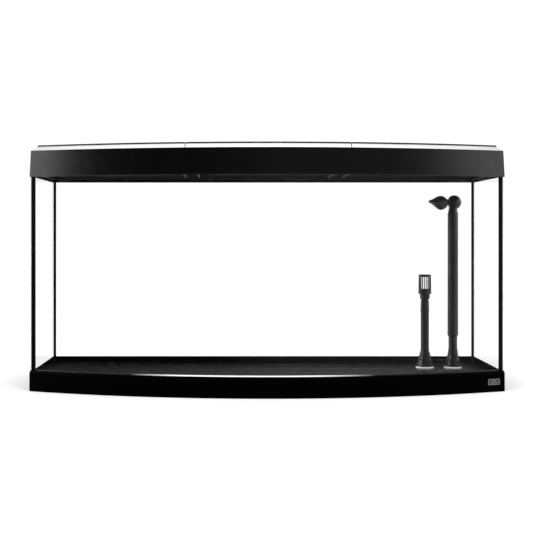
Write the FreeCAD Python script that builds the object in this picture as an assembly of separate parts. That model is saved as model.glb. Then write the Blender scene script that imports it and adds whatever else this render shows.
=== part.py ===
import FreeCAD, Part
import math
import os

Vector = FreeCAD.Vector
UP = Vector(0, 0, 1)

# ---------------------------------------------------------------- driving dimensions (mm)
# Frame: origin at the bottom centre, +X to the right, +Z up, the bowed front faces -Y.
# An "inset" is a distance inwards from the outside footprint.

# Footprint
LENGTH = 1210.0
DEPTH = 460.0
BOW = 130.0                 # the apex stands this far in front of the front corners
CORNER_R = 4.0
THIN = 0.4                  # smallest corner radius of an inset outline
BOW_R = ((LENGTH / 2) ** 2 + BOW ** 2) / (2 * BOW)
BOW_CENTRE_Y = -DEPTH / 2 + BOW_R

# Base frame
PLINTH_FACE_TOP = 46.4
PLINTH_TOP = 52.7
PLINTH_WALL = 3.3
LEDGE_TOP = 20.0
LEDGE_THICK = 3.0
LEDGE_INSET = 34.0
BADGE_X = 573.0
BADGE_Z = 18.3

# Glass
GLASS = 8.0
GLASS_INSET = 3.5
MAT_THICK = 3.0
FLOOR_THICK = 10.0
JOINT_GAP = 1.0             # silicone thickness between panes
GLASS_TOP = 566.0
GLASS_INNER = GLASS_INSET + GLASS
TANK_BOTTOM = LEDGE_TOP + MAT_THICK
FLOOR_TOP = TANK_BOTTOM + FLOOR_THICK
SIDE_IN = LENGTH / 2 - GLASS_INNER
SIDE_OUT = LENGTH / 2 - GLASS_INSET
REAR_OUT = DEPTH / 2 - GLASS_INSET
REAR_IN = REAR_OUT - GLASS
HOLE_R = 14.4

# Rim on the glass edge
RIM_TOP = GLASS_TOP + 3.0
RIM_INSET = 45.0
RIM_LIP_BOTTOM = 552.0
LIP_FACE_Y = DEPTH / 2 - (GLASS_INNER + 3.2)
BRACE_X = 200.0
CABLE_SLOTS = (-500.0, 500.0)

# Silicone
SEAL_BOTTOM = FLOOR_TOP + 6.5
SEAL_TOP = RIM_LIP_BOTTOM - 1.0
FRONT_FILLET = 4.0
REAR_FILLET = 6.5
FLOOR_FILLET = 5.0

# Fittings through the floor
PIPE_Y = 127.0
INTAKE_X = 440.0
OUTLET_X = 517.0
GASKET_THICK = 3.5
SEAT = FLOOR_TOP + GASKET_THICK
BARREL_R = 13.8
BARREL_BOTTOM = 3.0
PORT_R = 10.5               # hose port below the floor
PORT_DEPTH = 14.0
BORE_R = 9.5
SOCKET_BOTTOM = 46.0
SOCKET_TOP = 56.0
NUT_TOP = 76.0
WASHER_BOTTOM = 20.5

# Intake
INTAKE_R = 11.5
COUPLING_LOW = 188.0
COUPLING_HIGH = 195.0
INTAKE_TOP = 217.0
STRAINER_LOW = 235.0
STRAINER_TOP = 288.0
STRAINER_SLOTS = 18

# Outlet
OUTLET_R = 12.0
OUTLET_BORE = 10.0
OUTLET_PIPE_TOP = 395.0
OUTLET_RIM_Z = NUT_TOP + 1.0
SLEEVE_LOW = 126.0
SLEEVE_TOP = 457.0
SLEEVE_BORE = 12.3
HEAD_Z = 486.0
HEAD_R = 19.5
HEAD_X = OUTLET_X + 3.5
BALL_X = HEAD_X - 4.0
BALL_R = 15.0
SOCKET_R = 15.3
MOUTH_X = HEAD_X - 14.0
NECK_END_X = HEAD_X - 19.0
NOZZLE_WALL = 1.7
# Duckbill sections: distance left of the head's centre, middle height, half width, half height.
NOZZLE = ((19.0, -1.0, 9.6, 9.6), (24.0, -1.6, 12.8, 14.4), (30.0, -1.4, 14.8, 18.0),
          (36.5, -1.4, 15.8, 19.3), (43.0, -1.0, 16.4, 18.2), (51.0, 0.0, 16.9, 13.6),
          (60.0, 1.2, 17.2, 7.4), (68.2, 2.2, 17.4, 2.4))

# Hood
HOOD_BOTTOM = 545.0
HOOD_FACE_TOP = 611.2
HOOD_DRAFT = 3.5
HOOD_WALL = 2.0
HOOD_LEDGE = RIM_TOP + 0.1
LEDGE_PLATE = 2.5
HOOD_LEDGE_INSET = 38.0
FLANGE_INSET = 24.0
FLANGE_THICK = 2.5
FLANGE_BOTTOM = HOOD_FACE_TOP - FLANGE_THICK
RAIL_BOTTOM = 598.0
CHANNEL_WALL = 2.5
TOP = 626.0

# Lids and their hinges
BEVEL_INSET_LOW = 4.0
BEVEL_INSET_HIGH = 19.0
BEVEL_TOP = 622.5
BEVEL_GAP = 0.4
SEAM_X = 204.0
SEAM_GAP = 2.0
LID_REAR = 162.0
HINGE_Y = 168.5
HINGE_Z = 619.0
HINGE_XS = (-522.0, -266.0, -140.0, 140.0, 266.0, 522.0)
HINGE_RAIL_FRONT = 160.0
HINGE_RAIL_BACK = 182.0
PIN_R = 2.5
KNUCKLE = 18.0
LUG = 6.0
LUG_GAP = 1.0

# Rear panel and what it carries
REAR_PANEL_FRONT = 176.0
AUX_Y = 195.0
GROMMET_X = -400.0
GROMMET_R = 9.0
CABLE_R = 3.5
PANEL_SCREWS = (-570.0, -320.0, -100.0, 100.0, 320.0, 570.0)
SWITCH_X = 400.0
SWITCH_PIVOT_Z = 619.0
SWITCH_TILT = 7.0

# Light unit
LIGHT_Y = -20.0
LIGHT_HALF = 575.0
LIGHT_BOTTOM = HOOD_LEDGE + LEDGE_PLATE
LIGHT_TOP = RAIL_BOTTOM
LIGHT_WALL = 2.5
LIGHT_SCREW_DY = 30.0
LAMP_R = 8.0
LAMP_HALF = 523.5           # the lamp is 1047 mm long
LAMP_CAP = 12.0
LAMP_Z = 583.5
LAMP_DY = 26.0

nodes = {}


# ---------------------------------------------------------------- geometry helpers
def block(x0, x1, y0, y1, z0, z1):
    return Part.makeBox(x1 - x0, y1 - y0, z1 - z0, Vector(x0, y0, z0))


def rod(radius, start, direction, length):
    return Part.makeCylinder(radius, length, Vector(*start), Vector(*direction))


def fused(shapes):
    shapes = list(shapes)
    return shapes[0].multiFuse(shapes[1:]).removeSplitter() if len(shapes) > 1 else shapes[0]


def outline(inset, z):
    """Footprint wire, inset from the outside: bowed front, two sides, straight rear, rounded corners."""
    half = LENGTH / 2 - inset
    rear = DEPTH / 2 - inset
    bow = BOW_R - inset
    r = max(CORNER_R - inset, THIN)
    front_y = BOW_CENTRE_Y - math.sqrt((bow - r) ** 2 - (half - r) ** 2)
    scale = bow / (bow - r)
    touch = Vector((half - r) * scale, BOW_CENTRE_Y + (front_y - BOW_CENTRE_Y) * scale, z)
    side_low = Vector(half, front_y, z)
    side_high = Vector(half, rear - r, z)
    rear_right = Vector(half - r, rear, z)
    centre = Vector(half - r, front_y, z)
    outward = (touch - centre).normalize() + Vector(1, 0, 0)
    front_mid = centre + outward.normalize() * r
    rear_mid = Vector(half - r + r * math.sqrt(0.5), rear - r + r * math.sqrt(0.5), z)

    def mirror(p):
        return Vector(-p.x, p.y, p.z)

    edges = [
        Part.Arc(mirror(touch), Vector(0, BOW_CENTRE_Y - bow, z), touch).toShape(),
        Part.Arc(touch, front_mid, side_low).toShape(),
        Part.makeLine(side_low, side_high),
        Part.Arc(side_high, rear_mid, rear_right).toShape(),
        Part.makeLine(rear_right, mirror(rear_right)),
        Part.Arc(mirror(rear_right), mirror(rear_mid), mirror(side_high)).toShape(),
        Part.makeLine(mirror(side_high), mirror(side_low)),
        Part.Arc(mirror(side_low), mirror(front_mid), mirror(touch)).toShape(),
    ]
    return Part.Wire(edges)


def slab(inset, z0, z1):
    return Part.Face(outline(inset, z0)).extrude(Vector(0, 0, z1 - z0))


def taper(inset0, z0, inset1, z1):
    return Part.makeLoft([outline(inset0, z0), outline(inset1, z1)], True, True)


def ring(outer, inner, z0, z1):
    return slab(outer, z0, z1).cut(slab(inner, z0 - 1, z1 + 1))


def bow_y(inset, x):
    """Y of the bowed front at x, for an outline inset by the given amount."""
    return BOW_CENTRE_Y - math.sqrt((BOW_R - inset) ** 2 - x ** 2)


def turned(profile, x, y):
    """Solid of revolution about a vertical axis from (radius, z) corners."""
    points = [Vector(r, 0, z) for r, z in profile]
    face = Part.Face(Part.makePolygon(points + points[:1]))
    solid = face.revolve(Vector(0, 0, 0), UP, 360)
    solid.translate(Vector(x, y, 0))
    return solid


def bar(profile, x0, x1):
    """Prism along X from (y, z) corners."""
    points = [Vector(x0, y, z) for y, z in profile]
    return Part.Face(Part.makePolygon(points + points[:1])).extrude(Vector(x1 - x0, 0, 0))


def stadium(xc, yc, length, width, z0, z1):
    """Slot cutter with round ends, long along X."""
    straight = (length - width) / 2
    body = block(xc - straight, xc + straight, yc - width / 2, yc + width / 2, z0, z1)
    ends = [rod(width / 2, (xc + s * straight, yc, z0), (0, 0, 1), z1 - z0) for s in (-1, 1)]
    return fused([body] + ends)


def mirrored(shape):
    return shape.mirror(Vector(0, 0, 0), Vector(1, 0, 0))


def screw(x, y, head_z, head_r, shaft_r, depth):
    """Pan-head screw standing on a face at head_z, with a cross recess."""
    head = rod(head_r, (x, y, head_z), (0, 0, 1), 2.0)
    head = head.makeFillet(0.8, [e for e in head.Edges if e.BoundBox.ZMin > head_z + 1.9])
    slots = [block(x - 2.2, x + 2.2, y - 0.45, y + 0.45, head_z + 1.1, head_z + 3),
             block(x - 0.45, x + 0.45, y - 2.2, y + 2.2, head_z + 1.1, head_z + 3)]
    shaft = rod(shaft_r, (x, y, head_z - depth), (0, 0, 1), depth)
    return fused([head.cut(fused(slots)), shaft])


# ---------------------------------------------------------------- base
def base_frame():
    wall = fused([slab(0, 0, PLINTH_FACE_TOP),
                  taper(0, PLINTH_FACE_TOP, PLINTH_WALL - 0.6, PLINTH_TOP)])
    wall = wall.cut(slab(PLINTH_WALL, -1, PLINTH_TOP + 1))
    ledge = ring(PLINTH_WALL, LEDGE_INSET, LEDGE_TOP - LEDGE_THICK, LEDGE_TOP)
    inner_leg = ring(LEDGE_INSET - 3.0, LEDGE_INSET, 0, LEDGE_TOP - LEDGE_THICK)
    return fused([wall, ledge, inner_leg])


def base_badge():
    """Small blank plate with a raised border and three bars, on the front face at the right."""
    across, tall, thick = 35.0, 15.0, 1.6
    plate = block(-across / 2, across / 2, -thick, 2, 0, tall)
    corners = [e for e in plate.Edges if abs(e.BoundBox.XLength) < 0.01 and abs(e.BoundBox.ZLength) < 0.01]
    plate = plate.makeFillet(2.0, corners)
    pocket = block(-across / 2 + 1.4, across / 2 - 1.4, -thick - 1, -thick + 0.5, 1.4, tall - 1.4)
    plate = plate.cut(pocket)
    bars = []
    for i in range(3):
        width = 22.0 - 5.0 * i
        low = 3.6 + 3.2 * i
        bars.append(block(-width / 2, width / 2, -thick, -thick + 0.7, low, low + 1.3))
    plate = fused([plate] + bars)
    plate.rotate(Vector(0, 0, 0), UP, math.degrees(math.asin(BADGE_X / BOW_R)))
    plate.translate(Vector(BADGE_X, bow_y(0, BADGE_X), BADGE_Z))
    return plate.cut(slab(0, -1, PLINTH_FACE_TOP))


def seat_mat():
    mat = slab(GLASS_INSET + 0.5, LEDGE_TOP, TANK_BOTTOM)
    holes = [rod(24.0, (x, PIPE_Y, 0), (0, 0, 1), 60) for x in (INTAKE_X, OUTLET_X)]
    return mat.cut(fused(holes))


# ---------------------------------------------------------------- glass
def bottom_glass():
    pane = slab(GLASS_INNER + JOINT_GAP, TANK_BOTTOM, FLOOR_TOP)
    holes = [rod(HOLE_R, (x, PIPE_Y, 0), (0, 0, 1), 60) for x in (INTAKE_X, OUTLET_X)]
    return pane.cut(fused(holes))


def front_glass():
    outer = rod(BOW_R - GLASS_INSET, (0, BOW_CENTRE_Y, TANK_BOTTOM), (0, 0, 1), GLASS_TOP - TANK_BOTTOM)
    inner = rod(BOW_R - GLASS_INNER, (0, BOW_CENTRE_Y, 0), (0, 0, 1), GLASS_TOP + 10)
    zone = block(-SIDE_OUT, SIDE_OUT, -DEPTH / 2, 0, TANK_BOTTOM, GLASS_TOP)
    return outer.common(zone).cut(inner)


def side_start():
    """Y where the side panes begin, one joint behind the bowed pane."""
    return bow_y(GLASS_INNER, SIDE_OUT) + JOINT_GAP


def right_glass():
    return block(SIDE_IN, SIDE_OUT, side_start(), REAR_OUT, TANK_BOTTOM, GLASS_TOP)


def rear_glass():
    half = SIDE_IN - JOINT_GAP
    return block(-half, half, REAR_IN, REAR_OUT, TANK_BOTTOM, GLASS_TOP)


def front_seal():
    """Silicone between the bowed pane and the right pane, with a fillet on the inside."""
    inner_x = SIDE_IN - FRONT_FILLET
    mid_x = (inner_x + SIDE_OUT) / 2
    edge = [Vector(x, bow_y(GLASS_INNER, x), SEAL_BOTTOM) for x in (inner_x, mid_x, SIDE_OUT)]
    start = side_start()
    corners = [edge[2], Vector(SIDE_OUT, start, SEAL_BOTTOM), Vector(SIDE_IN, start, SEAL_BOTTOM),
               Vector(SIDE_IN, start + FRONT_FILLET, SEAL_BOTTOM), edge[0]]
    wire = Part.Wire([Part.Arc(*edge).toShape(), Part.makePolygon(corners)])
    return Part.Face(wire).extrude(Vector(0, 0, SEAL_TOP - SEAL_BOTTOM))


def rear_seal():
    """Silicone between the rear pane and the right pane, with a fillet on the inside."""
    half = SIDE_IN - JOINT_GAP
    corners = [Vector(SIDE_IN, REAR_OUT, SEAL_BOTTOM), Vector(SIDE_IN, REAR_IN - REAR_FILLET, SEAL_BOTTOM),
               Vector(SIDE_IN - REAR_FILLET, REAR_IN, SEAL_BOTTOM), Vector(half, REAR_IN, SEAL_BOTTOM),
               Vector(half, REAR_OUT, SEAL_BOTTOM)]
    face = Part.Face(Part.makePolygon(corners + corners[:1]))
    return face.extrude(Vector(0, 0, SEAL_TOP - SEAL_BOTTOM))


def floor_seal():
    """Silicone fillet round the floor, on the inside of the panes."""
    outer = slab(GLASS_INNER + 0.05, FLOOR_TOP, FLOOR_TOP + FLOOR_FILLET)
    hollow = taper(GLASS_INNER + FLOOR_FILLET, FLOOR_TOP, GLASS_INNER + 0.3, FLOOR_TOP + FLOOR_FILLET)
    inside = block(-SIDE_IN, SIDE_IN, -DEPTH / 2, REAR_IN, 0, 100)
    return outer.cut(hollow).common(inside)


def rim_frame():
    """Moulded rim on the glass edge: flat top, lip inside the glass, stiffened edge, two cross braces."""
    top = ring(GLASS_INSET + 0.5, RIM_INSET, GLASS_TOP, RIM_TOP)
    lip = ring(GLASS_INNER + 0.7, GLASS_INNER + 3.2, RIM_LIP_BOTTOM, GLASS_TOP)
    edge = ring(RIM_INSET - 2.5, RIM_INSET, GLASS_TOP - 5.0, GLASS_TOP)
    solids = [top, lip, edge]
    inside = slab(GLASS_INNER + 2.0, RIM_LIP_BOTTOM, RIM_TOP)
    for x in (-BRACE_X, BRACE_X):
        plate = block(x - 20, x + 20, -DEPTH / 2, DEPTH / 2, GLASS_TOP, RIM_TOP)
        solids.append(plate.common(inside))
        for dx in (-20.0, 17.5):
            rib = block(x + dx, x + dx + 2.5, -DEPTH / 2, DEPTH / 2, GLASS_TOP - 9.0, GLASS_TOP)
            solids.append(rib.common(inside))
    rim = fused(solids)
    for x in CABLE_SLOTS:
        rim = rim.cut(block(x - 30, x + 30, 180, 212, 540, 580))
    return rim


def rim_clips():
    """Moulded clips on the inner face of the rear lip, each with a hooked head."""
    solids = []
    for x0, x1 in ((-158.0, -144.0), (-59.0, -25.0), (63.0, 125.0)):
        profile = [(LIP_FACE_Y, RIM_LIP_BOTTOM), (LIP_FACE_Y - 5, RIM_LIP_BOTTOM),
                   (LIP_FACE_Y - 7, RIM_LIP_BOTTOM + 3), (LIP_FACE_Y - 7, RIM_LIP_BOTTOM + 5),
                   (LIP_FACE_Y - 3, RIM_LIP_BOTTOM + 7), (LIP_FACE_Y - 3, GLASS_TOP - 1),
                   (LIP_FACE_Y, GLASS_TOP - 1)]
        solids.append(bar(profile, x0, x1))
    return Part.makeCompound(solids)


def vent_grille():
    """Slanted fins in a thin frame on the rear lip."""
    x0, x1 = -20.0, 24.0
    back = block(x0, x1, LIP_FACE_Y - 1.2, LIP_FACE_Y, RIM_LIP_BOTTOM, GLASS_TOP - 1)
    fin_low = RIM_LIP_BOTTOM + 1
    fins = []
    for i in range(6):
        x = x0 + 3.0 + 7.0 * i
        corners = [Vector(x + dx, LIP_FACE_Y - 4, z)
                   for dx, z in ((0, fin_low), (2, fin_low), (6, GLASS_TOP - 2), (4, GLASS_TOP - 2))]
        face = Part.Face(Part.makePolygon(corners + corners[:1]))
        fins.append(face.extrude(Vector(0, 3.5, 0)))
    return fused([back] + fins)


# ---------------------------------------------------------------- fittings through the floor
def gasket(x):
    return turned([(BARREL_R + 0.1, FLOOR_TOP), (24.7, FLOOR_TOP), (24.7, SEAT - 0.4),
                   (24.3, SEAT), (BARREL_R + 0.1, SEAT)], x, PIPE_Y)


def bulkhead(x, pipe_r):
    """Flanged barrel through the floor, with a hose port below and a pipe socket above."""
    neck_r = pipe_r + 1.5
    low = BARREL_BOTTOM
    return turned([(PORT_R, low), (BARREL_R - 0.8, low), (BARREL_R, low + 0.8), (BARREL_R, SEAT),
                   (24.2, SEAT), (24.2, SEAT + 3.6), (23.3, SEAT + 4.5), (neck_r, SEAT + 4.5),
                   (neck_r, SOCKET_TOP), (pipe_r, SOCKET_TOP), (pipe_r, SOCKET_BOTTOM),
                   (BORE_R, SOCKET_BOTTOM), (BORE_R, low + PORT_DEPTH), (PORT_R, low + PORT_DEPTH)],
                  x, PIPE_Y)


def lower_washer(x):
    return turned([(BARREL_R + 0.1, WASHER_BOTTOM), (21, WASHER_BOTTOM), (21, TANK_BOTTOM),
                   (BARREL_R + 0.1, TANK_BOTTOM)], x, PIPE_Y)


def lock_nut(x):
    """Hexagon nut with a washer face, under the floor."""
    thick, flats_r = 8.5, 20.0
    low = WASHER_BOTTOM - thick
    corners = []
    for i in range(6):
        angle = math.radians(60 * i)
        reach = flats_r / math.cos(math.radians(30))
        corners.append(Vector(x + reach * math.cos(angle), PIPE_Y + reach * math.sin(angle), low))
    body = Part.Face(Part.makePolygon(corners + corners[:1])).extrude(Vector(0, 0, thick))
    return body.cut(rod(BARREL_R + 0.1, (x, PIPE_Y, 0), (0, 0, 1), 60))


def cone_nut(x, pipe_r):
    """Stepped cone nut that clamps the pipe: grip ribs round its lower tier."""
    low = SEAT + 4.5
    neck_r = pipe_r + 1.5
    body = turned([(neck_r + 0.2, low), (22.6, low), (22.0, low + 4.5), (19.4, low + 6.5), (18.6, low + 13),
                   (16.2, low + 15.5), (15.0, low + 26), (14.0, low + 28), (14.0, NUT_TOP - 0.8),
                   (13.4, NUT_TOP), (pipe_r + 0.1, NUT_TOP), (pipe_r + 0.1, SOCKET_TOP + 1.5),
                   (neck_r + 0.2, SOCKET_TOP + 0.5)], x, PIPE_Y)
    ribs = []
    for i in range(12):
        rib = block(x + 17.6, x + 20.9, PIPE_Y - 1.3, PIPE_Y + 1.3, low + 3.0, low + 12.5)
        rib.rotate(Vector(x, PIPE_Y, 0), UP, 30 * i)
        ribs.append(rib)
    for i in range(8):
        rib = block(x + 14.2, x + 16.3, PIPE_Y - 1.1, PIPE_Y + 1.1, low + 14.5, low + 25)
        rib.rotate(Vector(x, PIPE_Y, 0), UP, 45 * i + 22.5)
        ribs.append(rib)
    return fused([body] + ribs)


# ---------------------------------------------------------------- intake
def intake_riser():
    return turned([(BORE_R, SOCKET_BOTTOM), (INTAKE_R, SOCKET_BOTTOM), (INTAKE_R, COUPLING_LOW),
                   (BORE_R, COUPLING_LOW)], INTAKE_X, PIPE_Y)


def intake_coupling():
    return turned([(BORE_R, COUPLING_LOW), (11.9, COUPLING_LOW), (12.2, COUPLING_LOW + 0.5),
                   (12.2, COUPLING_HIGH - 0.5), (11.9, COUPLING_HIGH), (BORE_R, COUPLING_HIGH)],
                  INTAKE_X, PIPE_Y)


def intake_extension():
    return turned([(BORE_R, COUPLING_HIGH), (INTAKE_R, COUPLING_HIGH), (INTAKE_R, INTAKE_TOP - 3),
                   (10.1, INTAKE_TOP), (BORE_R, INTAKE_TOP)], INTAKE_X, PIPE_Y)


def strainer_collar():
    """Socket piece under the cage: its spigot slips into the pipe, its waist shows above it."""
    low = INTAKE_TOP
    return turned([(7.5, low - 20), (9.3, low - 20), (9.3, low + 0.1), (10.1, low + 0.1), (10.1, low + 2),
                   (13.5, low + 5), (13.5, STRAINER_LOW + 3), (7.5, STRAINER_LOW + 3)], INTAKE_X, PIPE_Y)


def strainer_cage():
    """Slotted cup with a closed domed top and a solid lower band."""
    band = STRAINER_LOW + 13.0
    wall = 2.2
    low, top = STRAINER_LOW, STRAINER_TOP
    body = turned([(13.5, low + 3), (13.5, low), (17.4, low), (18.0, low + 1), (18.0, low + 5),
                   (17.6, low + 6), (17.4, band), (17.0, top - 2), (15.5, top), (0, top), (0, top - wall),
                   (17.0 - wall, top - wall), (17.4 - wall, low + 3)], INTAKE_X, PIPE_Y)
    slots = []
    for i in range(STRAINER_SLOTS):
        slot = block(INTAKE_X + 11, INTAKE_X + 20, PIPE_Y - 1.5, PIPE_Y + 1.5, band, STRAINER_TOP - 6)
        slot.rotate(Vector(INTAKE_X, PIPE_Y, 0), UP, 360.0 / STRAINER_SLOTS * (i + 0.5))
        slots.append(slot)
    notches = []
    for i in range(9):
        notch = block(INTAKE_X + 17.3, INTAKE_X + 20, PIPE_Y - 1.5, PIPE_Y + 1.5, band - 6, band - 2)
        notch.rotate(Vector(INTAKE_X, PIPE_Y, 0), UP, 40 * i)
        notches.append(notch)
    return body.cut(fused(slots + notches))


# ---------------------------------------------------------------- outlet
def outlet_pipe():
    return turned([(OUTLET_BORE, SOCKET_BOTTOM), (OUTLET_R, SOCKET_BOTTOM), (OUTLET_R, OUTLET_PIPE_TOP),
                   (OUTLET_BORE, OUTLET_PIPE_TOP)], OUTLET_X, PIPE_Y)


def outlet_rim():
    low = OUTLET_RIM_Z
    return turned([(OUTLET_R, low), (14.0, low), (14.0, low + 1.5), (13.0, low + 4),
                   (OUTLET_R, low + 4)], OUTLET_X, PIPE_Y)


def outlet_sleeve():
    """Telescopic sleeve: slightly tapered, chamfered top, shallow flats just below the top."""
    low, top = SLEEVE_LOW, SLEEVE_TOP
    body = turned([(SLEEVE_BORE, low), (14.7, low), (14.2, top - 1.5), (13.6, top), (SLEEVE_BORE, top)],
                  OUTLET_X, PIPE_Y)
    flats = []
    for i in range(4):
        flat = block(OUTLET_X + 13.75, OUTLET_X + 16, PIPE_Y - 8, PIPE_Y + 8, top - 76, top + 1)
        flat.rotate(Vector(OUTLET_X, PIPE_Y, 0), UP, 90 * i + 45)
        flats.append(flat)
    return body.cut(fused(flats))


def sleeve_gland():
    return turned([(SLEEVE_BORE, SLEEVE_LOW - 7), (12.9, SLEEVE_LOW - 7), (13.6, SLEEVE_LOW - 5.5),
                   (14.9, SLEEVE_LOW - 4), (14.9, SLEEVE_LOW), (SLEEVE_BORE, SLEEVE_LOW)], OUTLET_X, PIPE_Y)


def outlet_head():
    """Ball socket on a spigot that turns in the sleeve; a neck bore leads up into the socket."""
    centre = Vector(HEAD_X, PIPE_Y, HEAD_Z)
    shell = Part.makeSphere(HEAD_R, centre)
    spigot_r = SLEEVE_BORE - 0.05
    spigot_low = SLEEVE_TOP - 22
    neck = turned([(0, spigot_low), (spigot_r, spigot_low), (spigot_r, SLEEVE_TOP + 0.2),
                   (13.4, SLEEVE_TOP + 0.2), (13.4, SLEEVE_TOP + 1.2), (12.1, SLEEVE_TOP + 6.5),
                   (11.8, SLEEVE_TOP + 9), (11.8, HEAD_Z - 12), (0, HEAD_Z - 12)], OUTLET_X, PIPE_Y)
    seam = rod(HEAD_R + 0.4, (HEAD_X - 3, PIPE_Y, HEAD_Z), (1, 0, 0), 1.6)
    seam = seam.cut(rod(HEAD_R - 2.5, (HEAD_X - 4, PIPE_Y, HEAD_Z), (1, 0, 0), 4))
    body = fused([shell, neck])
    body = body.cut(Part.makeSphere(SOCKET_R, Vector(BALL_X, PIPE_Y, HEAD_Z)))
    body = body.cut(block(MOUTH_X - 20, MOUTH_X, PIPE_Y - 30, PIPE_Y + 30, SLEEVE_TOP + 9, HEAD_Z + 30))
    body = body.cut(rod(8.5, (OUTLET_X, PIPE_Y, SLEEVE_TOP - 30), (0, 0, 1), HEAD_Z - SLEEVE_TOP + 20))
    return fused([body, seam.cut(Part.makeSphere(SOCKET_R + 1, Vector(BALL_X, PIPE_Y, HEAD_Z)))])


def nozzle_ball():
    centre = Vector(BALL_X, PIPE_Y, HEAD_Z)
    ball = Part.makeSphere(BALL_R, centre)
    neck = rod(8.5, (NECK_END_X, PIPE_Y, HEAD_Z), (1, 0, 0), 10)
    way = rod(6.5, (NECK_END_X - 1, PIPE_Y, HEAD_Z), (1, 0, 0), 60)
    return fused([ball, neck]).cut(way)


def ellipse_wire(x, z_mid, half_wide, half_tall):
    """Upright ellipse in a plane across X."""
    wide_first = half_wide >= half_tall
    major, minor = max(half_wide, half_tall), min(half_wide, half_tall)
    ellipse = Part.Ellipse(Vector(0, 0, 0), major, minor)
    edge = ellipse.toShape()
    edge.rotate(Vector(0, 0, 0), Vector(0, 1, 0), 90)
    if wide_first:
        edge.rotate(Vector(0, 0, 0), Vector(1, 0, 0), 90)
    edge.translate(Vector(x, PIPE_Y, z_mid))
    return Part.Wire([edge])


def nozzle_shell():
    def loft(shrink, extra):
        wires = []
        for i, (reach, mid, wide, tall) in enumerate(NOZZLE):
            last = i == len(NOZZLE) - 1
            out = reach + (extra if last else 0)
            inner_tall = max(tall - shrink, 1.3)
            wires.append(ellipse_wire(HEAD_X - out, HEAD_Z + mid, wide - shrink, inner_tall))
        return Part.makeLoft(wires, True, False)
    outer = loft(0.0, 0.0)
    inner = loft(NOZZLE_WALL, 0.6)
    entry = rod(6.5, (NECK_END_X - 12, PIPE_Y, HEAD_Z), (1, 0, 0), 20)
    keep = block(HEAD_X - 80, NECK_END_X - 1.6, PIPE_Y - 30, PIPE_Y + 30, HEAD_Z - 40, HEAD_Z + 40)
    return outer.cut(inner.common(keep)).cut(entry)


def nozzle_half(upper):
    shell = nozzle_shell()
    split = HEAD_Z + 1.4
    if upper:
        zone = block(HEAD_X - 90, HEAD_X, PIPE_Y - 40, PIPE_Y + 40, split, split + 60)
    else:
        zone = block(HEAD_X - 90, HEAD_X, PIPE_Y - 40, PIPE_Y + 40, split - 60, split)
    return shell.common(zone)


# ---------------------------------------------------------------- hood
def hood_frame():
    """Drafted fascia ring with a ledge that sits on the rim, a top flange and gussets between them."""
    height = HOOD_FACE_TOP - HOOD_BOTTOM
    inner_top = HOOD_WALL + HOOD_DRAFT
    skirt = taper(0, HOOD_BOTTOM, HOOD_DRAFT, HOOD_FACE_TOP)
    skirt = skirt.cut(taper(HOOD_WALL, HOOD_BOTTOM, inner_top, HOOD_FACE_TOP))
    ledge_bottom, ledge_top = HOOD_LEDGE, HOOD_LEDGE + LEDGE_PLATE

    def wall_inset(z):
        return HOOD_DRAFT * (z - HOOD_BOTTOM) / height + HOOD_WALL / 2

    ledge = ring(wall_inset(ledge_top), HOOD_LEDGE_INSET, ledge_bottom, ledge_top)
    flange = ring(wall_inset(FLANGE_BOTTOM), FLANGE_INSET, FLANGE_BOTTOM, HOOD_FACE_TOP)
    web_zone = ring(wall_inset(FLANGE_BOTTOM), FLANGE_INSET - 2, ledge_top, FLANGE_BOTTOM)
    webs = []
    for x in (0, 70, 140, 270, 340, 410, 480, 550):
        for side in ((1, -1) if x else (1,)):
            at = side * x
            webs.append(block(at - 1.25, at + 1.25, -DEPTH / 2, DEPTH / 2, ledge_top, FLANGE_BOTTOM))
    for y in (-40.0, 50.0, 140.0):
        webs.append(block(-LENGTH / 2, LENGTH / 2, y - 1.25, y + 1.25, ledge_top, FLANGE_BOTTOM))
    frame = fused([skirt, ledge, flange, fused(webs).common(web_zone)])
    for x in CABLE_SLOTS:
        frame = frame.cut(block(x - 30, x + 30, 180, 212, ledge_bottom - 2, ledge_top + 2))
    return frame


def right_cross_rail():
    """Channel from the front flange to the hinge rail; carries the light unit and the lids' seam."""
    front, back = -204.0, HINGE_RAIL_FRONT
    half, wall, top = 12.0, CHANNEL_WALL, FLANGE_BOTTOM
    screw_ys = (LIGHT_Y - LIGHT_SCREW_DY, LIGHT_Y + LIGHT_SCREW_DY)
    rail = block(SEAM_X - half, SEAM_X + half, front, back, RAIL_BOTTOM, top)
    rail = rail.cut(block(SEAM_X - half + wall, SEAM_X + half - wall, front + wall, back - wall,
                          RAIL_BOTTOM - 1, top - wall))
    holes = [rod(2.0, (SEAM_X, y, 0), (0, 0, 1), 700) for y in screw_ys]
    bosses = [rod(5.0, (SEAM_X, y, RAIL_BOTTOM), (0, 0, 1), top - RAIL_BOTTOM - 1) for y in screw_ys]
    return fused([rail] + bosses).cut(fused(holes))


def hinge_rail():
    """Rail across the hood with a pair of lugs for each hinge."""
    half = LENGTH / 2 - FLANGE_INSET
    rail = block(-half, half, HINGE_RAIL_FRONT, HINGE_RAIL_BACK, RAIL_BOTTOM, HOOD_FACE_TOP)
    wall = CHANNEL_WALL
    rail = rail.cut(block(-half + wall, half - wall, HINGE_RAIL_FRONT + wall, HINGE_RAIL_BACK - wall,
                          RAIL_BOTTOM - 1, HOOD_FACE_TOP - wall))
    lugs = []
    for xc in HINGE_XS:
        for side in (-1, 1):
            start = xc + side * (KNUCKLE / 2 + LUG_GAP) - (LUG if side < 0 else 0)
            post = block(start, start + LUG, HINGE_Y - 5, HINGE_Y + 5, HOOD_FACE_TOP - 1, HINGE_Z)
            eye = rod(5.0, (start, HINGE_Y, HINGE_Z), (1, 0, 0), LUG)
            lugs.append(fused([post, eye]))
    bores = rod(PIN_R, (-half, HINGE_Y, HINGE_Z), (1, 0, 0), 2 * half)
    return fused([rail] + lugs).cut(bores)


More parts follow.
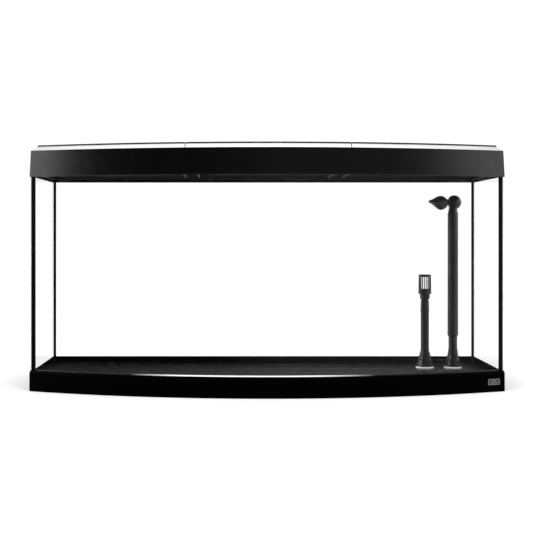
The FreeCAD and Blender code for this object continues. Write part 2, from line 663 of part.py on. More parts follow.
def hinge_pins():
    length = KNUCKLE + 2 * (LUG_GAP + LUG) + 1.0
    return Part.makeCompound([rod(PIN_R, (xc - length / 2, HINGE_Y, HINGE_Z), (1, 0, 0), length)
                              for xc in HINGE_XS])


def lid_panel(x0, x1):
    """Flat lid with a stiffening frame below and two hinge knuckles at the rear."""
    plate = slab(BEVEL_INSET_HIGH, BEVEL_TOP, TOP).common(block(x0, x1, -DEPTH / 2, LID_REAR, 0, 700))
    inner = slab(BEVEL_INSET_HIGH + 5, BEVEL_TOP - 8, BEVEL_TOP)
    ribs = [block(x0, x0 + 2.5, -DEPTH / 2, 156, BEVEL_TOP - 8, BEVEL_TOP),
            block(x1 - 2.5, x1, -DEPTH / 2, 156, BEVEL_TOP - 8, BEVEL_TOP)]
    ribs.append(block(x0, x1, 152, 154.5, BEVEL_TOP - 6, BEVEL_TOP))
    for y in (-60.0, 45.0):
        ribs.append(block(x0, x1, y, y + 2.0, BEVEL_TOP - 5, BEVEL_TOP))
    middle = (x0 + x1) / 2
    ribs.append(block(middle - 1, middle + 1, -DEPTH / 2, 154, BEVEL_TOP - 5, BEVEL_TOP))
    solids = [plate, fused(ribs).common(inner)]
    for xc in HINGE_XS:
        if x0 < xc < x1:
            arm = block(xc - KNUCKLE / 2, xc + KNUCKLE / 2, 154, HINGE_Y, HINGE_Z - 2.5, BEVEL_TOP)
            eye = rod(4.6, (xc - KNUCKLE / 2, HINGE_Y, HINGE_Z), (1, 0, 0), KNUCKLE)
            solids.append(fused([arm, eye]))
    bore = rod(PIN_R + 0.06, (x0 - 5, HINGE_Y, HINGE_Z), (1, 0, 0), x1 - x0 + 10)
    return fused(solids).cut(bore)


def lid_trim(x0, x1):
    """Bright sloping strip along the lid's outer edges."""
    low = HOOD_FACE_TOP + BEVEL_GAP
    thick = 2.6
    strip = taper(BEVEL_INSET_LOW, low, BEVEL_INSET_HIGH, BEVEL_TOP)
    strip = strip.cut(taper(BEVEL_INSET_LOW + thick, low, BEVEL_INSET_HIGH + thick, BEVEL_TOP))
    return strip.common(block(x0, x1, -DEPTH / 2 - 5, LID_REAR, 0, 700))


def rear_panel():
    """Fixed rear part of the hood's top, with two cable slots and openings for switch and grommet."""
    outer = fused([taper(BEVEL_INSET_LOW, HOOD_FACE_TOP, BEVEL_INSET_HIGH, BEVEL_TOP),
                   slab(BEVEL_INSET_HIGH, BEVEL_TOP, TOP)])
    hollow = taper(BEVEL_INSET_LOW + 3, HOOD_FACE_TOP, BEVEL_INSET_HIGH + 3, BEVEL_TOP)
    zone = block(-LENGTH / 2, LENGTH / 2, REAR_PANEL_FRONT, DEPTH / 2, 0, 700)
    inside = block(-LENGTH / 2, LENGTH / 2, REAR_PANEL_FRONT + 2.5, DEPTH / 2, 0, 700)
    panel = outer.common(zone).cut(hollow.common(inside))
    cutters = [stadium(x, 195, 70, 18, BEVEL_TOP - 5, TOP + 5) for x in CABLE_SLOTS]
    cutters.append(rod(GROMMET_R, (GROMMET_X, AUX_Y, 600), (0, 0, 1), 60))
    cutters.append(block(SWITCH_X - 14, SWITCH_X + 14, AUX_Y - 9, AUX_Y + 9, 600, 650))
    cutters += [rod(2.1, (x, AUX_Y, 600), (0, 0, 1), 60) for x in PANEL_SCREWS]
    cutters += [rod(4.2, (x, AUX_Y, TOP - 2.1), (0, 0, 1), 10) for x in PANEL_SCREWS]
    boss_height = BEVEL_TOP - HOOD_FACE_TOP
    bosses = [rod(5.0, (x, AUX_Y, HOOD_FACE_TOP), (0, 0, 1), boss_height) for x in PANEL_SCREWS]
    return fused([panel] + bosses).cut(fused(cutters))


def rear_panel_screws():
    return Part.makeCompound([screw(x, AUX_Y, TOP - 2.1, 3.9, 2.0, 13) for x in PANEL_SCREWS])


def cable_grommet():
    low = BEVEL_TOP - 5
    return turned([(CABLE_R, low), (8.0, low), (GROMMET_R, low + 1), (GROMMET_R, TOP - 0.8),
                   (8.2, TOP), (4.3, TOP), (CABLE_R, TOP - 0.8)], GROMMET_X, AUX_Y)


# ---------------------------------------------------------------- light unit
def light_screw_places():
    return [(x, LIGHT_Y + dy) for x in (-SEAM_X, SEAM_X) for dy in (-LIGHT_SCREW_DY, LIGHT_SCREW_DY)]


def light_housing():
    """Long trapezoid channel, open below, with small lips that hold the splash shield."""
    low, high, wall = LIGHT_BOTTOM, LIGHT_TOP, LIGHT_WALL
    outer = [(LIGHT_Y - 55, low), (LIGHT_Y + 55, low), (LIGHT_Y + 55, low + 10), (LIGHT_Y + 40, high),
             (LIGHT_Y - 40, high), (LIGHT_Y - 55, low + 10)]
    reach = 55 - wall
    inner = [(LIGHT_Y - reach, low + 1.2), (LIGHT_Y + reach, low + 1.2), (LIGHT_Y + reach, low + 9.4),
             (LIGHT_Y + 39, high - wall), (LIGHT_Y - 39, high - wall), (LIGHT_Y - reach, low + 9.4)]
    mouth = [(LIGHT_Y - 49, low - 1), (LIGHT_Y + 49, low - 1), (LIGHT_Y + 49, low + 2),
             (LIGHT_Y - 49, low + 2)]
    body = bar(outer, -LIGHT_HALF, LIGHT_HALF)
    for hollow in (inner, mouth):
        body = body.cut(bar(hollow, -LIGHT_HALF - 1, LIGHT_HALF + 1))
    holes = [rod(1.9, (x, y, 590), (0, 0, 1), 20) for x, y in light_screw_places()]
    return body.cut(fused(holes))


def light_end_cap():
    """Cap on the right end of the housing."""
    low, high = LIGHT_BOTTOM, LIGHT_TOP
    return bar([(LIGHT_Y - 55, low), (LIGHT_Y + 55, low), (LIGHT_Y + 55, low + 10), (LIGHT_Y + 40, high),
                (LIGHT_Y - 40, high), (LIGHT_Y - 55, low + 10)], LIGHT_HALF, LIGHT_HALF + 4)


def lamp_holders():
    """Round necks that receive the lamp ends, each on a block."""
    solids = []
    for side in (-1, 1):
        for dy in (-LAMP_DY, LAMP_DY):
            start = (side * LAMP_HALF, LIGHT_Y + dy, LAMP_Z)
            neck = rod(10.5, start, (side, 0, 0), 14)
            body = block(-9, 9, -11, 11, 577, 593)
            body.translate(Vector(side * (LAMP_HALF + 21), LIGHT_Y + dy, 0))
            solids.append(fused([neck, body]).common(block(-600, 600, -300, 300, LIGHT_BOTTOM + 4.5, 594)))
    return Part.makeCompound(solids)


def reflector():
    """Folded sheet with a ridge between the lamps."""
    t = 0.8
    ys = (-50.0, -38.0, -8.0, 0.0, 8.0, 38.0, 50.0)
    zs = (578.5, 593.8, 593.8, 585.5, 593.8, 593.8, 578.5)
    lower = [(LIGHT_Y + y, z - t) for y, z in zip(ys, zs)]
    upper = [(LIGHT_Y + y, z) for y, z in zip(ys, zs)]
    return bar(lower + upper[::-1], -510, 510)


def lamp(dy):
    """Glass tube with closed ends."""
    half = LAMP_HALF - LAMP_CAP
    return rod(LAMP_R, (-half, LIGHT_Y + dy, LAMP_Z), (1, 0, 0), 2 * half)


def lamp_caps():
    start = LAMP_HALF - LAMP_CAP
    radius = LAMP_R + 0.2
    return Part.makeCompound([rod(radius, (side * start, LIGHT_Y + dy, LAMP_Z), (side, 0, 0), LAMP_CAP)
                              for side in (-1, 1) for dy in (-LAMP_DY, LAMP_DY)])


def splash_shield():
    low = LIGHT_BOTTOM + 1.2
    return block(-LIGHT_HALF, LIGHT_HALF, LIGHT_Y - 52.2, LIGHT_Y + 52.2, low, low + 2.5)


def light_screws():
    return Part.makeCompound([screw(x, y, FLANGE_BOTTOM, 3.6, 1.8, 12) for x, y in light_screw_places()])


# ---------------------------------------------------------------- switch
def switch_housing():
    body = block(SWITCH_X - 14, SWITCH_X + 14, AUX_Y - 9, AUX_Y + 9, 608, TOP)
    body = body.cut(block(SWITCH_X - 10.6, SWITCH_X + 10.6, AUX_Y - 6.4, AUX_Y + 6.4, 612, TOP + 1))
    return body.cut(rod(1.2, (SWITCH_X, AUX_Y - 8, SWITCH_PIVOT_Z), (0, 1, 0), 16))


def switch_pin():
    return rod(1.2, (SWITCH_X, AUX_Y - 8, SWITCH_PIVOT_Z), (0, 1, 0), 16)


def switch_rocker():
    """Rocker with a dished top, tilted to its off position."""
    corners = [(-9.5, 5.6), (0, 4.5), (9.5, 5.6), (9.5, 0.5), (4, -4), (-4, -4), (-9.5, 0.5)]
    points = [Vector(SWITCH_X + x, AUX_Y - 6, SWITCH_PIVOT_Z + z) for x, z in corners]
    body = Part.Face(Part.makePolygon(points + points[:1])).extrude(Vector(0, 12, 0))
    body = body.cut(rod(1.26, (SWITCH_X, AUX_Y - 8, SWITCH_PIVOT_Z), (0, 1, 0), 16))
    body.rotate(Vector(SWITCH_X, AUX_Y, SWITCH_PIVOT_Z), Vector(0, 1, 0), SWITCH_TILT)
    return body


# ---------------------------------------------------------------- assembly
def build():
    nodes["base_frame"] = base_frame()
    nodes["base_badge"] = base_badge()
    nodes["seat_mat"] = seat_mat()
    nodes["bottom_glass"] = bottom_glass()
    nodes["front_glass"] = front_glass()
    nodes["right_glass"] = right_glass()
    nodes["left_glass"] = mirrored(right_glass())
    nodes["rear_glass"] = rear_glass()
    nodes["front_seals"] = Part.makeCompound([front_seal(), mirrored(front_seal())])
    nodes["rear_seals"] = Part.makeCompound([rear_seal(), mirrored(rear_seal())])
    nodes["floor_seal"] = floor_seal()
    nodes["rim_frame"] = rim_frame()
    nodes["rim_clips"] = rim_clips()
    nodes["vent_grille"] = vent_grille()

    for name, x, pipe_r in (("intake", INTAKE_X, INTAKE_R), ("outlet", OUTLET_X, OUTLET_R)):
        nodes[name + "_bulkhead"] = bulkhead(x, pipe_r)
        nodes[name + "_cone_nut"] = cone_nut(x, pipe_r)
    nodes["floor_gaskets"] = Part.makeCompound([gasket(x) for x in (INTAKE_X, OUTLET_X)])
    nodes["lower_washers"] = Part.makeCompound([lower_washer(x) for x in (INTAKE_X, OUTLET_X)])
    nodes["lock_nuts"] = Part.makeCompound([lock_nut(x) for x in (INTAKE_X, OUTLET_X)])
    nodes["intake_riser"] = intake_riser()
    nodes["intake_coupling"] = intake_coupling()
    nodes["intake_extension"] = intake_extension()
    nodes["strainer_collar"] = strainer_collar()
    nodes["strainer_cage"] = strainer_cage()
    nodes["outlet_pipe"] = outlet_pipe()
    nodes["outlet_rim"] = outlet_rim()
    nodes["outlet_sleeve"] = outlet_sleeve()
    nodes["sleeve_gland"] = sleeve_gland()
    nodes["outlet_head"] = outlet_head()
    nodes["nozzle_ball"] = nozzle_ball()
    nodes["nozzle_upper"] = nozzle_half(True)
    nodes["nozzle_lower"] = nozzle_half(False)

    nodes["hood_frame"] = hood_frame()
    nodes["right_cross_rail"] = right_cross_rail()
    nodes["left_cross_rail"] = mirrored(right_cross_rail())
    nodes["hinge_rail"] = hinge_rail()
    nodes["hinge_pins"] = hinge_pins()
    nodes["rear_panel"] = rear_panel()
    nodes["rear_panel_screws"] = rear_panel_screws()
    nodes["cable_grommet"] = cable_grommet()
    inner, outer = SEAM_X + SEAM_GAP / 2, LENGTH / 2
    centre = SEAM_X - SEAM_GAP / 2
    for name, x0, x1 in (("left", -outer, -inner), ("centre", -centre, centre), ("right", inner, outer)):
        nodes[name + "_lid"] = lid_panel(x0, x1)
        nodes[name + "_lid_trim"] = lid_trim(x0, x1)

    nodes["light_housing"] = light_housing()
    nodes["light_end_caps"] = Part.makeCompound([light_end_cap(), mirrored(light_end_cap())])
    nodes["lamp_holders"] = lamp_holders()
    nodes["reflector"] = reflector()
    nodes["front_lamp"] = lamp(-LAMP_DY)
    nodes["rear_lamp"] = lamp(LAMP_DY)
    nodes["lamp_caps"] = lamp_caps()
    nodes["splash_shield"] = splash_shield()
    nodes["light_screws"] = light_screws()
    nodes["switch_housing"] = switch_housing()
    nodes["switch_pin"] = switch_pin()
    nodes["switch_rocker"] = switch_rocker()


build()
os.makedirs("parts", exist_ok=True)
for name, shape in nodes.items():
    solids = shape.Solids
    if not solids or not shape.isValid():
        raise RuntimeError("bad shape: " + name)
    kept = solids[0] if len(solids) == 1 else Part.makeCompound(solids)
    kept.exportStep("parts/" + name + ".step")
    print(name, len(solids), round(kept.Volume / 1000.0, 2))
print("nodes", len(nodes))
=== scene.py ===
import math

import bpy
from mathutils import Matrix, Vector


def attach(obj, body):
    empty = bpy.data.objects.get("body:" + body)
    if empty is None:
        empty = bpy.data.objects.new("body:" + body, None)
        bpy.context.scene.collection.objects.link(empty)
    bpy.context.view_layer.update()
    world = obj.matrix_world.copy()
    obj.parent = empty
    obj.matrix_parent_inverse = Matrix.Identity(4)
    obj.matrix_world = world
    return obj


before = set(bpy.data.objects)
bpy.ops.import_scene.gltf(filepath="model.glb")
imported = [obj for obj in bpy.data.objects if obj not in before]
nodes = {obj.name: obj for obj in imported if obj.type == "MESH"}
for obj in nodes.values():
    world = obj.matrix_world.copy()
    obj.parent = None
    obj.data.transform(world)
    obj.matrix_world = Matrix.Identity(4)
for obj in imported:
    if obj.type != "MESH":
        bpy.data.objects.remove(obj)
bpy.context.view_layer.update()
scene = bpy.context.scene

# All lengths are in metres.
# The base frame's bowed face, seen from above: its radius, and the Y of its centre.
BOW_RADIUS = 1.47279
BOW_CENTRE_Y = 1.24279
# The badge's border and bars stand further out than this from the bow's centre, its recess doesn't.
BADGE_RAISED = BOW_RADIUS + 0.00128
# Painted reflections on the tank's floor, drawn as faint light lines: Y of the line, and brightness.
FLOOR_REFLECTION_LINES = ((0.189, 0.03), (0.102, 0.06))
# Stretch that draws noise out into fine lines along X.
BRUSHED = (0.02, 1, 1)
BRUSH_DEPTH = 0.000006
GLASS_IOR = 1.5

CAMERA_PLACE = (-0.0855, -2.932, 0.4045)
CAMERA_LENS = 72.9
CAMERA_SHIFT = (0.0755, -0.078)
FLOOR_REACH = 60.0
FLOOR_DROP = 0.0002

# Strength of the world where each kind of ray meets it.
BACKDROP = 1.12
MIRRORED_HORIZON = 1.15
MIRRORED_LEFT = 9.0
MIRRORED_RIGHT = 3.0
MIRRORED_ABOVE = 1.25
LIT_FROM_FRONT = 1.7
LIT_FROM_REAR = 1.0

# ---------------------------------------------------------------- material helpers


class Graph:
    """A node material with one Principled shader and short ways to add what feeds it."""

    def __init__(self, name):
        self.material = bpy.data.materials.new(name)
        self.material.use_nodes = True
        self.tree = self.material.node_tree
        self.shader = self.tree.nodes["Principled BSDF"]
        self.output = self.tree.nodes["Material Output"]
        self.coord = self.tree.nodes.new("ShaderNodeTexCoord")

    def node(self, kind, **inputs):
        made = self.tree.nodes.new(kind)
        for key, value in inputs.items():
            self.feed(made.inputs[key.replace("_", " ")], value)
        return made

    def feed(self, socket, value):
        if isinstance(value, bpy.types.NodeSocket):
            self.tree.links.new(value, socket)
        else:
            socket.default_value = value

    def set(self, **inputs):
        for key, value in inputs.items():
            self.feed(self.shader.inputs[key.replace("_", " ")], value)

    def space(self, stretch=(1, 1, 1)):
        """Object coordinates in metres, stretched per axis."""
        mapping = self.node("ShaderNodeMapping", Vector=self.coord.outputs["Object"])
        mapping.inputs["Scale"].default_value = stretch
        return mapping.outputs["Vector"]

    def noise(self, size, detail=2.0, stretch=(1, 1, 1), roughness=0.5):
        """Noise whose blobs are about size metres across."""
        made = self.node("ShaderNodeTexNoise", Vector=self.space(stretch), Scale=1.0 / size,
                         Detail=detail, Roughness=roughness)
        return made.outputs["Fac"]

    def spread(self, source, low, high, start=0.3, end=0.7):
        """Maps a 0..1 value to low..high."""
        made = self.node("ShaderNodeMapRange")
        self.feed(made.inputs["Value"], source)
        for key, value in (("From Min", start), ("From Max", end), ("To Min", low), ("To Max", high)):
            made.inputs[key].default_value = value
        return made.outputs["Result"]

    def blend(self, factor, first, second):
        """Colour between first and second."""
        made = self.tree.nodes.new("ShaderNodeMix")
        made.data_type = "RGBA"
        self.feed(made.inputs[0], factor)
        self.feed(made.inputs[6], first)
        self.feed(made.inputs[7], second)
        return made.outputs[2]

    def math(self, operation, first, second=0.0):
        made = self.tree.nodes.new("ShaderNodeMath")
        made.operation = operation
        self.feed(made.inputs[0], first)
        self.feed(made.inputs[1], second)
        return made.outputs[0]

    def bump(self, height, depth, strength=1.0, after=None):
        """Bump of the given depth in metres."""
        made = self.node("ShaderNodeBump", Height=height, Distance=depth, Strength=strength)
        if after is not None:
            self.feed(made.inputs["Normal"], after)
        return made.outputs["Normal"]


def grey(value, blue=0.0):
    return (value, value, value * (1 + blue), 1.0)


def plastic(name, low, high, rough, specular=0.5, grain=0.0006, grain_depth=0.00002, blue=0.08,
            stretch=(1, 1, 1), wave=0.0):
    """Moulded plastic: drifting tone and roughness, fine mould grain and an optional slow waviness."""
    g = Graph(name)
    tone = g.noise(0.06, 4.0, stretch)
    smear = g.noise(0.018, 5.0, stretch, 0.65)
    g.set(Base_Color=g.blend(tone, grey(low, blue), grey(high, blue)),
          Roughness=g.spread(smear, rough[0], rough[1]), Specular_IOR_Level=specular)
    normal = g.bump(g.noise(grain, 2.0), grain_depth)
    if wave:
        normal = g.bump(g.noise(0.09, 1.0, stretch), wave, after=normal)
    g.set(Normal=normal)
    return g.material


def satin_metal(name, low, high, rough, line=0.0004):
    """Metal with fine lines along X."""
    g = Graph(name)
    lines = g.noise(line, 3.0, BRUSHED)
    tone = g.noise(0.05, 3.0)
    g.set(Base_Color=g.blend(tone, grey(low), grey(high)), Metallic=1.0,
          Roughness=g.spread(lines, rough[0], rough[1]), Normal=g.bump(lines, BRUSH_DEPTH))
    return g.material


def rubber(name, low, high, rough, ripple=0.0, specular=0.35):
    """Rubber or silicone: fine grain and an optional ripple, as a tooled seam has."""
    g = Graph(name)
    tone = g.noise(0.012, 4.0)
    normal = g.bump(g.noise(0.0011, 3.0), 0.00003)
    if ripple:
        normal = g.bump(g.noise(0.014, 2.0), ripple, after=normal)
    g.set(Base_Color=g.blend(tone, grey(low), grey(high)), Roughness=g.spread(tone, rough[0], rough[1]),
          Specular_IOR_Level=specular, Normal=normal)
    return g.material


def mirror_share(g, strength):
    """How much a thin clear sheet mirrors: little face on, more at a slant, the same from both sides."""
    facing = g.tree.nodes.new("ShaderNodeLayerWeight").outputs["Facing"]
    slant = g.math("POWER", facing, 5.0)
    return g.math("ADD", g.math("MULTIPLY", slant, 0.9 * strength), 0.04 * strength)


def sheet(g, near, far, rough, strength, bends=False):
    """Clear sheet that mirrors a little. What is behind it shows straight, or bent as by thick glass."""
    dust = g.noise(0.05, 5.0, roughness=0.6)
    tint = g.blend(dust, near, far)
    clear = g.node("ShaderNodeBsdfTransparent", Color=tint)
    if bends:
        bent = g.node("ShaderNodeBsdfRefraction", Color=tint, Roughness=0.0, IOR=GLASS_IOR)
        path = g.tree.nodes.new("ShaderNodeLightPath")
        swap = g.node("ShaderNodeMixShader")
        g.feed(swap.inputs[0], path.outputs["Is Shadow Ray"])
        g.feed(swap.inputs[1], bent.outputs[0])
        g.feed(swap.inputs[2], clear.outputs[0])
        clear = swap
    gloss = g.node("ShaderNodeBsdfGlossy", Color=(1, 1, 1, 1),
                   Roughness=g.spread(dust, rough[0], rough[1]))
    mixed = g.node("ShaderNodeMixShader")
    g.feed(mixed.inputs[0], mirror_share(g, strength))
    g.feed(mixed.inputs[1], clear.outputs[0])
    g.feed(mixed.inputs[2], gloss.outputs[0])
    return mixed.outputs[0]


def pane(name, axis, bends):
    """Float glass: clear faces across one axis, pale green ground edges everywhere else."""
    g = Graph(name)
    split = g.node("ShaderNodeSeparateXYZ", Vector=g.coord.outputs["Normal"])
    is_face = g.math("GREATER_THAN", g.math("ABSOLUTE", split.outputs[axis]), 0.7)
    clear = sheet(g, (1, 1, 1, 1), (0.99, 0.996, 0.994, 1), (0.0, 0.02), 0.5, bends)
    ground = g.noise(0.0008, 3.0)
    g.set(Base_Color=g.blend(g.noise(0.02, 3.0), (0.42, 0.58, 0.54, 1), (0.56, 0.70, 0.66, 1)),
          Roughness=g.spread(ground, 0.2, 0.4), Normal=g.bump(ground, 0.00004))
    through = g.node("ShaderNodeBsdfTransparent", Color=(0.86, 0.95, 0.92, 1))
    edge = g.node("ShaderNodeMixShader")
    g.feed(edge.inputs[0], g.spread(ground, 0.35, 0.55))
    g.feed(edge.inputs[1], g.shader.outputs[0])
    g.feed(edge.inputs[2], through.outputs[0])
    both = g.node("ShaderNodeMixShader")
    g.feed(both.inputs[0], is_face)
    g.feed(both.inputs[1], edge.outputs[0])
    g.feed(both.inputs[2], clear)
    g.feed(g.output.inputs["Surface"], both.outputs[0])
    return g.material


# ---------------------------------------------------------------- materials

hood_black = plastic("hood_black", 0.0005, 0.0010, (0.2, 0.28), 0.42, 0.0009, 0.000008, wave=0.0002)
base_black = plastic("base_black", 0.0002, 0.0006, (0.44, 0.56), 0.015, 0.0009, 0.00002)
lid_black = plastic("lid_black", 0.004, 0.007, (0.34, 0.46), 0.4, 0.0012, 0.00005)
inner_black = plastic("inner_black", 0.012, 0.02, (0.5, 0.65), 0.3, 0.001, 0.00004)
pipe_black = plastic("pipe_black", 0.006, 0.011, (0.28, 0.42), 0.45, 0.0008, 0.00003, blue=0.12,
                     stretch=(1, 1, 0.2), wave=0.0005)
nozzle_grey = plastic("nozzle_grey", 0.02, 0.035, (0.32, 0.46), 0.45, 0.0008, 0.00004, blue=0.18)
holder_grey = plastic("holder_grey", 0.16, 0.22, (0.45, 0.6), 0.4)
silicone = rubber("silicone_black", 0.0003, 0.0008, (0.4, 0.55), ripple=0.0006, specular=0.08)
mat_black = rubber("mat_black", 0.003, 0.006, (0.6, 0.8))
gasket_pale = rubber("gasket_pale", 0.88, 0.96, (0.4, 0.55))
rubber_black = rubber("rubber_black", 0.008, 0.014, (0.5, 0.7))
trim_silver = satin_metal("trim_silver", 0.8, 0.88, (0.3, 0.42))
steel = satin_metal("steel", 0.5, 0.62, (0.22, 0.35), line=0.0006)
reflector_bright = satin_metal("reflector_bright", 0.82, 0.9, (0.08, 0.16))
pane_x = pane("glass_side", "X", True)
pane_y = pane("glass_front", "Y", False)


def floor_pane():
    """The bottom pane over its black mat: dark, glossy, with faint wipe marks, two faint light lines
    that are painted reflections, and a little lighter towards its front edge.
    """
    g = Graph("glass_floor")
    wipe = g.noise(0.12, 5.0, (0.35, 1, 1), 0.55)
    fine = g.noise(0.02, 5.0, (0.3, 1, 1), 0.6)
    tone = g.blend(wipe, (0.004, 0.0042, 0.0045, 1), (0.0095, 0.0095, 0.0103, 1))
    place = g.node("ShaderNodeSeparateXYZ", Vector=g.coord.outputs["Object"])
    along, across = place.outputs["X"], place.outputs["Y"]
    ends = g.math("MULTIPLY", g.spread(along, 0.0, 1.0, -0.12, 0.02),
                  g.spread(along, 1.0, 0.0, 0.26, 0.4))
    # Painted reflections: faint light lines across the floor, fading out towards both ends along X.
    for line_y, reflection_brightness in FLOOR_REFLECTION_LINES:
        distance = g.math("ABSOLUTE", g.math("SUBTRACT", across, line_y))
        line = g.math("MULTIPLY", g.spread(distance, 1.0, 0.0, 0.004, 0.012), ends)
        tone = g.blend(g.math("MULTIPLY", line, g.spread(fine, 0.7, 1.0)), tone, grey(reflection_brightness))
    # Lighter towards the front edge of the pane.
    front_lightening = g.spread(across, 0.03, 0.0, -0.225, -0.11)
    tone = g.blend(front_lightening, tone, grey(0.9))
    smear = g.math("ADD", g.math("MULTIPLY", wipe, 0.6), g.math("MULTIPLY", fine, 0.4))
    g.set(Base_Color=tone, Roughness=g.spread(smear, 0.18, 0.38), Specular_IOR_Level=0.25,
          Normal=g.bump(fine, 0.00002))
    return g.material


def badge_plate():
    """Brushed plate whose recess is filled dark, so that its border and bars stand out."""
    g = Graph("badge_silver")
    lines = g.noise(0.0004, 3.0, BRUSHED)
    tone = g.noise(0.006, 3.0)
    place = g.node("ShaderNodeSeparateXYZ", Vector=g.coord.outputs["Object"])
    back = g.math("SUBTRACT", BOW_CENTRE_Y, place.outputs["Y"])
    squares = g.math("ADD", g.math("MULTIPLY", place.outputs["X"], place.outputs["X"]),
                     g.math("MULTIPLY", back, back))
    raised = g.math("GREATER_THAN", g.math("SQRT", squares), BADGE_RAISED)
    fill = g.blend(tone, grey(0.03), grey(0.06))
    g.set(Base_Color=g.blend(raised, fill, g.blend(tone, grey(0.5), grey(0.68))), Metallic=raised,
          Roughness=g.spread(lines, 0.28, 0.42), Normal=g.bump(lines, BRUSH_DEPTH))
    return g.material


def opal_glass():
    """White coated glass of an unlit lamp."""
    g = Graph("lamp_opal")
    tone = g.noise(0.03, 3.0)
    g.set(Base_Color=g.blend(tone, (0.86, 0.87, 0.88, 1), (0.93, 0.94, 0.94, 1)),
          Roughness=g.spread(tone, 0.08, 0.16), Specular_IOR_Level=0.5)
    return g.material


def clear_sheet():
    """Clear acrylic splash shield, slightly bluish."""
    g = Graph("shield_clear")
    acrylic = sheet(g, (0.93, 0.96, 0.97, 1), (0.88, 0.92, 0.94, 1), (0.03, 0.1), 0.8)
    g.feed(g.output.inputs["Surface"], acrylic)
    return g.material


looks = {
    hood_black: ["hood_frame", "rear_panel"],
    base_black: ["base_frame"],
    lid_black: ["left_lid", "centre_lid", "right_lid", "switch_rocker"],
    inner_black: ["rim_frame", "rim_clips", "vent_grille", "right_cross_rail", "left_cross_rail",
                  "hinge_rail", "light_housing", "light_end_caps", "switch_housing"],
    pipe_black: ["intake_bulkhead", "intake_cone_nut", "outlet_bulkhead", "outlet_cone_nut",
                 "lock_nuts", "intake_riser", "intake_coupling", "intake_extension",
                 "strainer_collar", "strainer_cage", "outlet_pipe", "outlet_rim", "outlet_sleeve",
                 "sleeve_gland", "outlet_head", "nozzle_upper"],
    nozzle_grey: ["nozzle_ball", "nozzle_lower"],
    holder_grey: ["lamp_holders"],
    silicone: ["front_seals", "rear_seals", "floor_seal"],
    mat_black: ["seat_mat"],
    gasket_pale: ["floor_gaskets"],
    rubber_black: ["lower_washers", "cable_grommet"],
    trim_silver: ["left_lid_trim", "centre_lid_trim", "right_lid_trim"],
    badge_plate(): ["base_badge"],
    steel: ["hinge_pins", "rear_panel_screws", "light_screws", "lamp_caps", "switch_pin"],
    reflector_bright: ["reflector"],
    pane_x: ["left_glass", "right_glass"],
    pane_y: ["front_glass", "rear_glass"],
    floor_pane(): ["bottom_glass"],
    opal_glass(): ["front_lamp", "rear_lamp"],
    clear_sheet(): ["splash_shield"],
}
for material, names in looks.items():
    for name in names:
        for place in nodes[name].material_slots:
            place.link = "OBJECT"
            place.material = material

# ---------------------------------------------------------------- pieces beside the CAD nodes

# Section of the sealant bead, whose pale middle is a painted highlight: distance inwards from the base
# frame's face, and height.
BEAD = ((0.0026, 0.0524), (0.0026, 0.0536), (0.0029, 0.0548), (0.0034, 0.0556), (0.0036, 0.0524))
# Section of the lip under each lid's rear edge: Y and height.
LIP = ((0.1616, 0.6226), (0.1616, 0.6150), (0.1614, 0.6130), (0.1610, 0.6124), (0.1606, 0.6130),
       (0.1603, 0.6150), (0.1602, 0.6226))


def strip(name, x0, x1, steps, section, body, material):
    """Solid strip along X. section(x) gives its (y, z) corners at x."""
    rings = []
    for i in range(steps + 1):
        x = x0 + (x1 - x0) * i / steps
        rings.append([(x, y, z) for y, z in section(x)])
    count = len(rings[0])
    faces = []
    for i in range(steps):
        for j in range(count):
            a, b = i * count + j, i * count + (j + 1) % count
            faces.append((a, a + count, b + count, b))
    faces += [tuple(range(count)), tuple(reversed(range(steps * count, (steps + 1) * count)))]
    mesh = bpy.data.meshes.new(name)
    mesh.from_pydata([corner for ring in rings for corner in ring], [], faces)
    mesh.materials.append(material)
    obj = bpy.data.objects.new(name, mesh)
    scene.collection.objects.link(obj)
    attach(obj, body)


def sealant_with_painted_highlight():
    """Sealant that is pale in the middle of the front, as a painted highlight of the overhead light, and
    dark towards the ends.
    """
    g = Graph("sealant_painted_highlight")
    along = g.node("ShaderNodeSeparateXYZ", Vector=g.coord.outputs["Object"]).outputs["X"]
    blotch = g.noise(0.03, 3.0)
    # The pale middle is a painted highlight. Towards both ends the sealant is dark.
    middle = g.math("MULTIPLY", g.spread(along, 0.0, 1.0, -0.34, -0.22),
                    g.spread(along, 1.0, 0.0, 0.12, 0.26))
    pale = g.blend(blotch, grey(0.72), grey(0.86))
    g.set(Base_Color=g.blend(middle, grey(0.01), pale), Roughness=g.spread(blotch, 0.25, 0.4),
          Specular_IOR_Level=0.3, Normal=g.bump(g.noise(0.004, 2.0), 0.0001))
    return g.material


def bead_section(x):
    """The sealant bead's corners at x, along the bow."""
    return [(BOW_CENTRE_Y - math.sqrt((BOW_RADIUS - inset) ** 2 - x * x), z) for inset, z in BEAD]


# The bead's pale middle is a painted highlight of the overhead light along the front.
strip("front_highlight_bead", -0.585, 0.585, 160, bead_section, "tank", sealant_with_painted_highlight())
for side, x0, x1 in (("left", -0.583, -0.2055), ("centre", -0.2025, 0.2025), ("right", 0.2055, 0.583)):
    strip(side + "_lid_lip", x0, x1, 24, lambda x: LIP, "lid_" + side, rubber_black)

# ---------------------------------------------------------------- camera

camera_data = bpy.data.cameras.new("camera")
camera_data.lens = CAMERA_LENS
camera_data.sensor_width = 36.0
camera_data.shift_x, camera_data.shift_y = CAMERA_SHIFT
camera_data.clip_end = 100.0
camera = bpy.data.objects.new("camera", camera_data)
camera.location = CAMERA_PLACE
camera.rotation_euler = (math.radians(90), 0, 0)
scene.collection.objects.link(camera)
scene.camera = camera

# ---------------------------------------------------------------- floor and light


